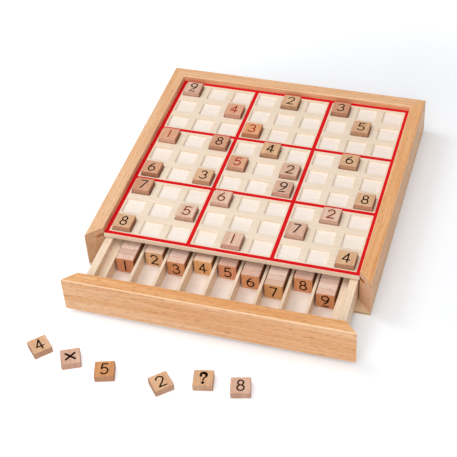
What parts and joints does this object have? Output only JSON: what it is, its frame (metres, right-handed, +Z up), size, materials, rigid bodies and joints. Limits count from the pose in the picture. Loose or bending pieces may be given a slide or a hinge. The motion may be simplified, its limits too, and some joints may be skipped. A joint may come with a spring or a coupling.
{
  "type": "wooden sudoku board",
  "caption": "Square wooden sudoku board with pocketed cells, painted box lines, lift-out number tiles and a shallow sliding tile drawer whose mitred front closes the frame.",
  "frame": {"origin": "middle of the base panel's underside, under the middle of the grid", "axes": "+X to the player's right, +Y to the back rail, +Z up; the drawer opens along -Y"},
  "size_m": [0.2547, 0.3592, 0.036],
  "materials": {
    "beech": "satin lacquer",
    "board": "pale matt",
    "red_paint": "screen-printed",
    "panel": "raw plywood",
    "steel": "bright",
    "drawer_wood": "raw beech",
    "tile": "satin"
  },
  "bodies": {
    "frame": {"left_rail": "beech", "right_rail": "beech", "rear_rail": "beech", "playing_board": "board", "grid_lines": "red_paint", "base_panel": "panel", "base_brads": "steel"},
    "drawer": {"drawer_front": "beech", "drawer_left_side": "drawer_wood", "drawer_right_side": "drawer_wood", "drawer_back": "drawer_wood", "drawer_floor": "panel", "edge_strips": "drawer_wood", "divider_1": "drawer_wood", "divider_2": "drawer_wood", "divider_3": "drawer_wood", "divider_4": "drawer_wood", "divider_5": "drawer_wood", "divider_6": "drawer_wood", "divider_7": "drawer_wood", "divider_8": "drawer_wood"},
    "tile_stack_1": {"tile_stack_1": "tile"},
    "tile_stack_2": {"tile_stack_2": "tile"},
    "tile_stack_3": {"tile_stack_3": "tile"},
    "tile_stack_4": {"tile_stack_4": "tile"},
    "tile_stack_5": {"tile_stack_5": "tile"},
    "tile_stack_6": {"tile_stack_6": "tile"},
    "tile_stack_7": {"tile_stack_7": "tile"},
    "tile_stack_8": {"tile_stack_8": "tile"},
    "tile_stack_9": {"tile_stack_9": "tile"},
    "board_tile_r1c1": {"board_tile_r1c1": "tile"},
    "board_tile_r1c5": {"board_tile_r1c5": "tile"},
    "board_tile_r1c7": {"board_tile_r1c7": "tile"},
    "board_tile_r2c3": {"board_tile_r2c3": "tile"},
    "board_tile_r2c8": {"board_tile_r2c8": "tile"},
    "board_tile_r3c4": {"board_tile_r3c4": "tile"},
    "board_tile_r4c1": {"board_tile_r4c1": "tile"},
    "board_tile_r4c3": {"board_tile_r4c3": "tile"},
    "board_tile_r4c5": {"board_tile_r4c5": "tile"},
    "board_tile_r4c8": {"board_tile_r4c8": "tile"},
    "board_tile_r5c4": {"board_tile_r5c4": "tile"},
    "board_tile_r5c6": {"board_tile_r5c6": "tile"},
    "board_tile_r6c1": {"board_tile_r6c1": "tile"},
    "board_tile_r6c3": {"board_tile_r6c3": "tile"},
    "board_tile_r6c6": {"board_tile_r6c6": "tile"},
    "board_tile_r6c9": {"board_tile_r6c9": "tile"},
    "board_tile_r7c1": {"board_tile_r7c1": "tile"},
    "board_tile_r7c4": {"board_tile_r7c4": "tile"},
    "board_tile_r7c8": {"board_tile_r7c8": "tile"},
    "board_tile_r8c3": {"board_tile_r8c3": "tile"},
    "board_tile_r8c7": {"board_tile_r8c7": "tile"},
    "board_tile_r9c1": {"board_tile_r9c1": "tile"},
    "board_tile_r9c5": {"board_tile_r9c5": "tile"},
    "board_tile_r9c9": {"board_tile_r9c9": "tile"},
    "loose_tile_four": {"loose_tile_four": "tile"},
    "loose_tile_cross": {"loose_tile_cross": "tile"},
    "loose_tile_five": {"loose_tile_five": "tile"},
    "loose_tile_two": {"loose_tile_two": "tile"},
    "loose_tile_query": {"loose_tile_query": "tile"},
    "loose_tile_eight": {"loose_tile_eight": "tile"}
  },
  "joints": [
    {"name": "drawer_slide", "type": "slide", "parent": "frame", "child": "drawer", "axis": [0, -1, 0], "range_m": [-0.0525, 0.02]},
    {"name": "tile_stack_1_slide", "type": "slide", "parent": "drawer", "child": "tile_stack_1", "axis": [0, -1, 0], "range_m": [0, 0.034]},
    {"name": "tile_stack_2_slide", "type": "slide", "parent": "drawer", "child": "tile_stack_2", "axis": [0, -1, 0], "range_m": [0, 0.047]},
    {"name": "tile_stack_3_slide", "type": "slide", "parent": "drawer", "child": "tile_stack_3", "axis": [0, -1, 0], "range_m": [0, 0.04]},
    {"name": "tile_stack_4_slide", "type": "slide", "parent": "drawer", "child": "tile_stack_4", "axis": [0, -1, 0], "range_m": [0, 0.047]},
    {"name": "tile_stack_5_slide", "type": "slide", "parent": "drawer", "child": "tile_stack_5", "axis": [0, -1, 0], "range_m": [0, 0.047]},
    {"name": "tile_stack_6_slide", "type": "slide", "parent": "drawer", "child": "tile_stack_6", "axis": [0, -1, 0], "range_m": [0, 0.04]},
    {"name": "tile_stack_7_slide", "type": "slide", "parent": "drawer", "child": "tile_stack_7", "axis": [0, -1, 0], "range_m": [0, 0.034]},
    {"name": "tile_stack_8_slide", "type": "slide", "parent": "drawer", "child": "tile_stack_8", "axis": [0, -1, 0], "range_m": [0, 0.047]},
    {"name": "tile_stack_9_slide", "type": "slide", "parent": "drawer", "child": "tile_stack_9", "axis": [0, -1, 0], "range_m": [0, 0.034]},
    {"name": "board_tile_r1c1_lift", "type": "slide", "parent": "frame", "child": "board_tile_r1c1", "axis": [0, 0, 1], "range_m": [0, 0.02]},
    {"name": "board_tile_r1c5_lift", "type": "slide", "parent": "frame", "child": "board_tile_r1c5", "axis": [0, 0, 1], "range_m": [0, 0.02]},
    {"name": "board_tile_r1c7_lift", "type": "slide", "parent": "frame", "child": "board_tile_r1c7", "axis": [0, 0, 1], "range_m": [0, 0.02]},
    {"name": "board_tile_r2c3_lift", "type": "slide", "parent": "frame", "child": "board_tile_r2c3", "axis": [0, 0, 1], "range_m": [0, 0.02]},
    {"name": "board_tile_r2c8_lift", "type": "slide", "parent": "frame", "child": "board_tile_r2c8", "axis": [0, 0, 1], "range_m": [0, 0.02]},
    {"name": "board_tile_r3c4_lift", "type": "slide", "parent": "frame", "child": "board_tile_r3c4", "axis": [0, 0, 1], "range_m": [0, 0.02]},
    {"name": "board_tile_r4c1_lift", "type": "slide", "parent": "frame", "child": "board_tile_r4c1", "axis": [0, 0, 1], "range_m": [0, 0.02]},
    {"name": "board_tile_r4c3_lift", "type": "slide", "parent": "frame", "child": "board_tile_r4c3", "axis": [0, 0, 1], "range_m": [0, 0.02]},
    {"name": "board_tile_r4c5_lift", "type": "slide", "parent": "frame", "child": "board_tile_r4c5", "axis": [0, 0, 1], "range_m": [0, 0.02]},
    {"name": "board_tile_r4c8_lift", "type": "slide", "parent": "frame", "child": "board_tile_r4c8", "axis": [0, 0, 1], "range_m": [0, 0.02]},
    {"name": "board_tile_r5c4_lift", "type": "slide", "parent": "frame", "child": "board_tile_r5c4", "axis": [0, 0, 1], "range_m": [0, 0.02]},
    {"name": "board_tile_r5c6_lift", "type": "slide", "parent": "frame", "child": "board_tile_r5c6", "axis": [0, 0, 1], "range_m": [0, 0.02]},
    {"name": "board_tile_r6c1_lift", "type": "slide", "parent": "frame", "child": "board_tile_r6c1", "axis": [0, 0, 1], "range_m": [0, 0.02]},
    {"name": "board_tile_r6c3_lift", "type": "slide", "parent": "frame", "child": "board_tile_r6c3", "axis": [0, 0, 1], "range_m": [0, 0.02]},
    {"name": "board_tile_r6c6_lift", "type": "slide", "parent": "frame", "child": "board_tile_r6c6", "axis": [0, 0, 1], "range_m": [0, 0.02]},
    {"name": "board_tile_r6c9_lift", "type": "slide", "parent": "frame", "child": "board_tile_r6c9", "axis": [0, 0, 1], "range_m": [0, 0.02]},
    {"name": "board_tile_r7c1_lift", "type": "slide", "parent": "frame", "child": "board_tile_r7c1", "axis": [0, 0, 1], "range_m": [0, 0.02]},
    {"name": "board_tile_r7c4_lift", "type": "slide", "parent": "frame", "child": "board_tile_r7c4", "axis": [0, 0, 1], "range_m": [0, 0.02]},
    {"name": "board_tile_r7c8_lift", "type": "slide", "parent": "frame", "child": "board_tile_r7c8", "axis": [0, 0, 1], "range_m": [0, 0.02]},
    {"name": "board_tile_r8c3_lift", "type": "slide", "parent": "frame", "child": "board_tile_r8c3", "axis": [0, 0, 1], "range_m": [0, 0.02]},
    {"name": "board_tile_r8c7_lift", "type": "slide", "parent": "frame", "child": "board_tile_r8c7", "axis": [0, 0, 1], "range_m": [0, 0.02]},
    {"name": "board_tile_r9c1_lift", "type": "slide", "parent": "frame", "child": "board_tile_r9c1", "axis": [0, 0, 1], "range_m": [0, 0.02]},
    {"name": "board_tile_r9c5_lift", "type": "slide", "parent": "frame", "child": "board_tile_r9c5", "axis": [0, 0, 1], "range_m": [0, 0.02]},
    {"name": "board_tile_r9c9_lift", "type": "slide", "parent": "frame", "child": "board_tile_r9c9", "axis": [0, 0, 1], "range_m": [0, 0.02]},
    {"name": "loose_tile_four_lift", "type": "slide", "parent": "frame", "child": "loose_tile_four", "axis": [0, 0, 1], "range_m": [0, 0.02]},
    {"name": "loose_tile_cross_lift", "type": "slide", "parent": "frame", "child": "loose_tile_cross", "axis": [0, 0, 1], "range_m": [0, 0.02]},
    {"name": "loose_tile_five_lift", "type": "slide", "parent": "frame", "child": "loose_tile_five", "axis": [0, 0, 1], "range_m": [0, 0.02]},
    {"name": "loose_tile_two_lift", "type": "slide", "parent": "frame", "child": "loose_tile_two", "axis": [0, 0, 1], "range_m": [0, 0.02]},
    {"name": "loose_tile_query_lift", "type": "slide", "parent": "frame", "child": "loose_tile_query", "axis": [0, 0, 1], "range_m": [0, 0.02]},
    {"name": "loose_tile_eight_lift", "type": "slide", "parent": "frame", "child": "loose_tile_eight", "axis": [0, 0, 1], "range_m": [0, 0.02]}
  ]
}
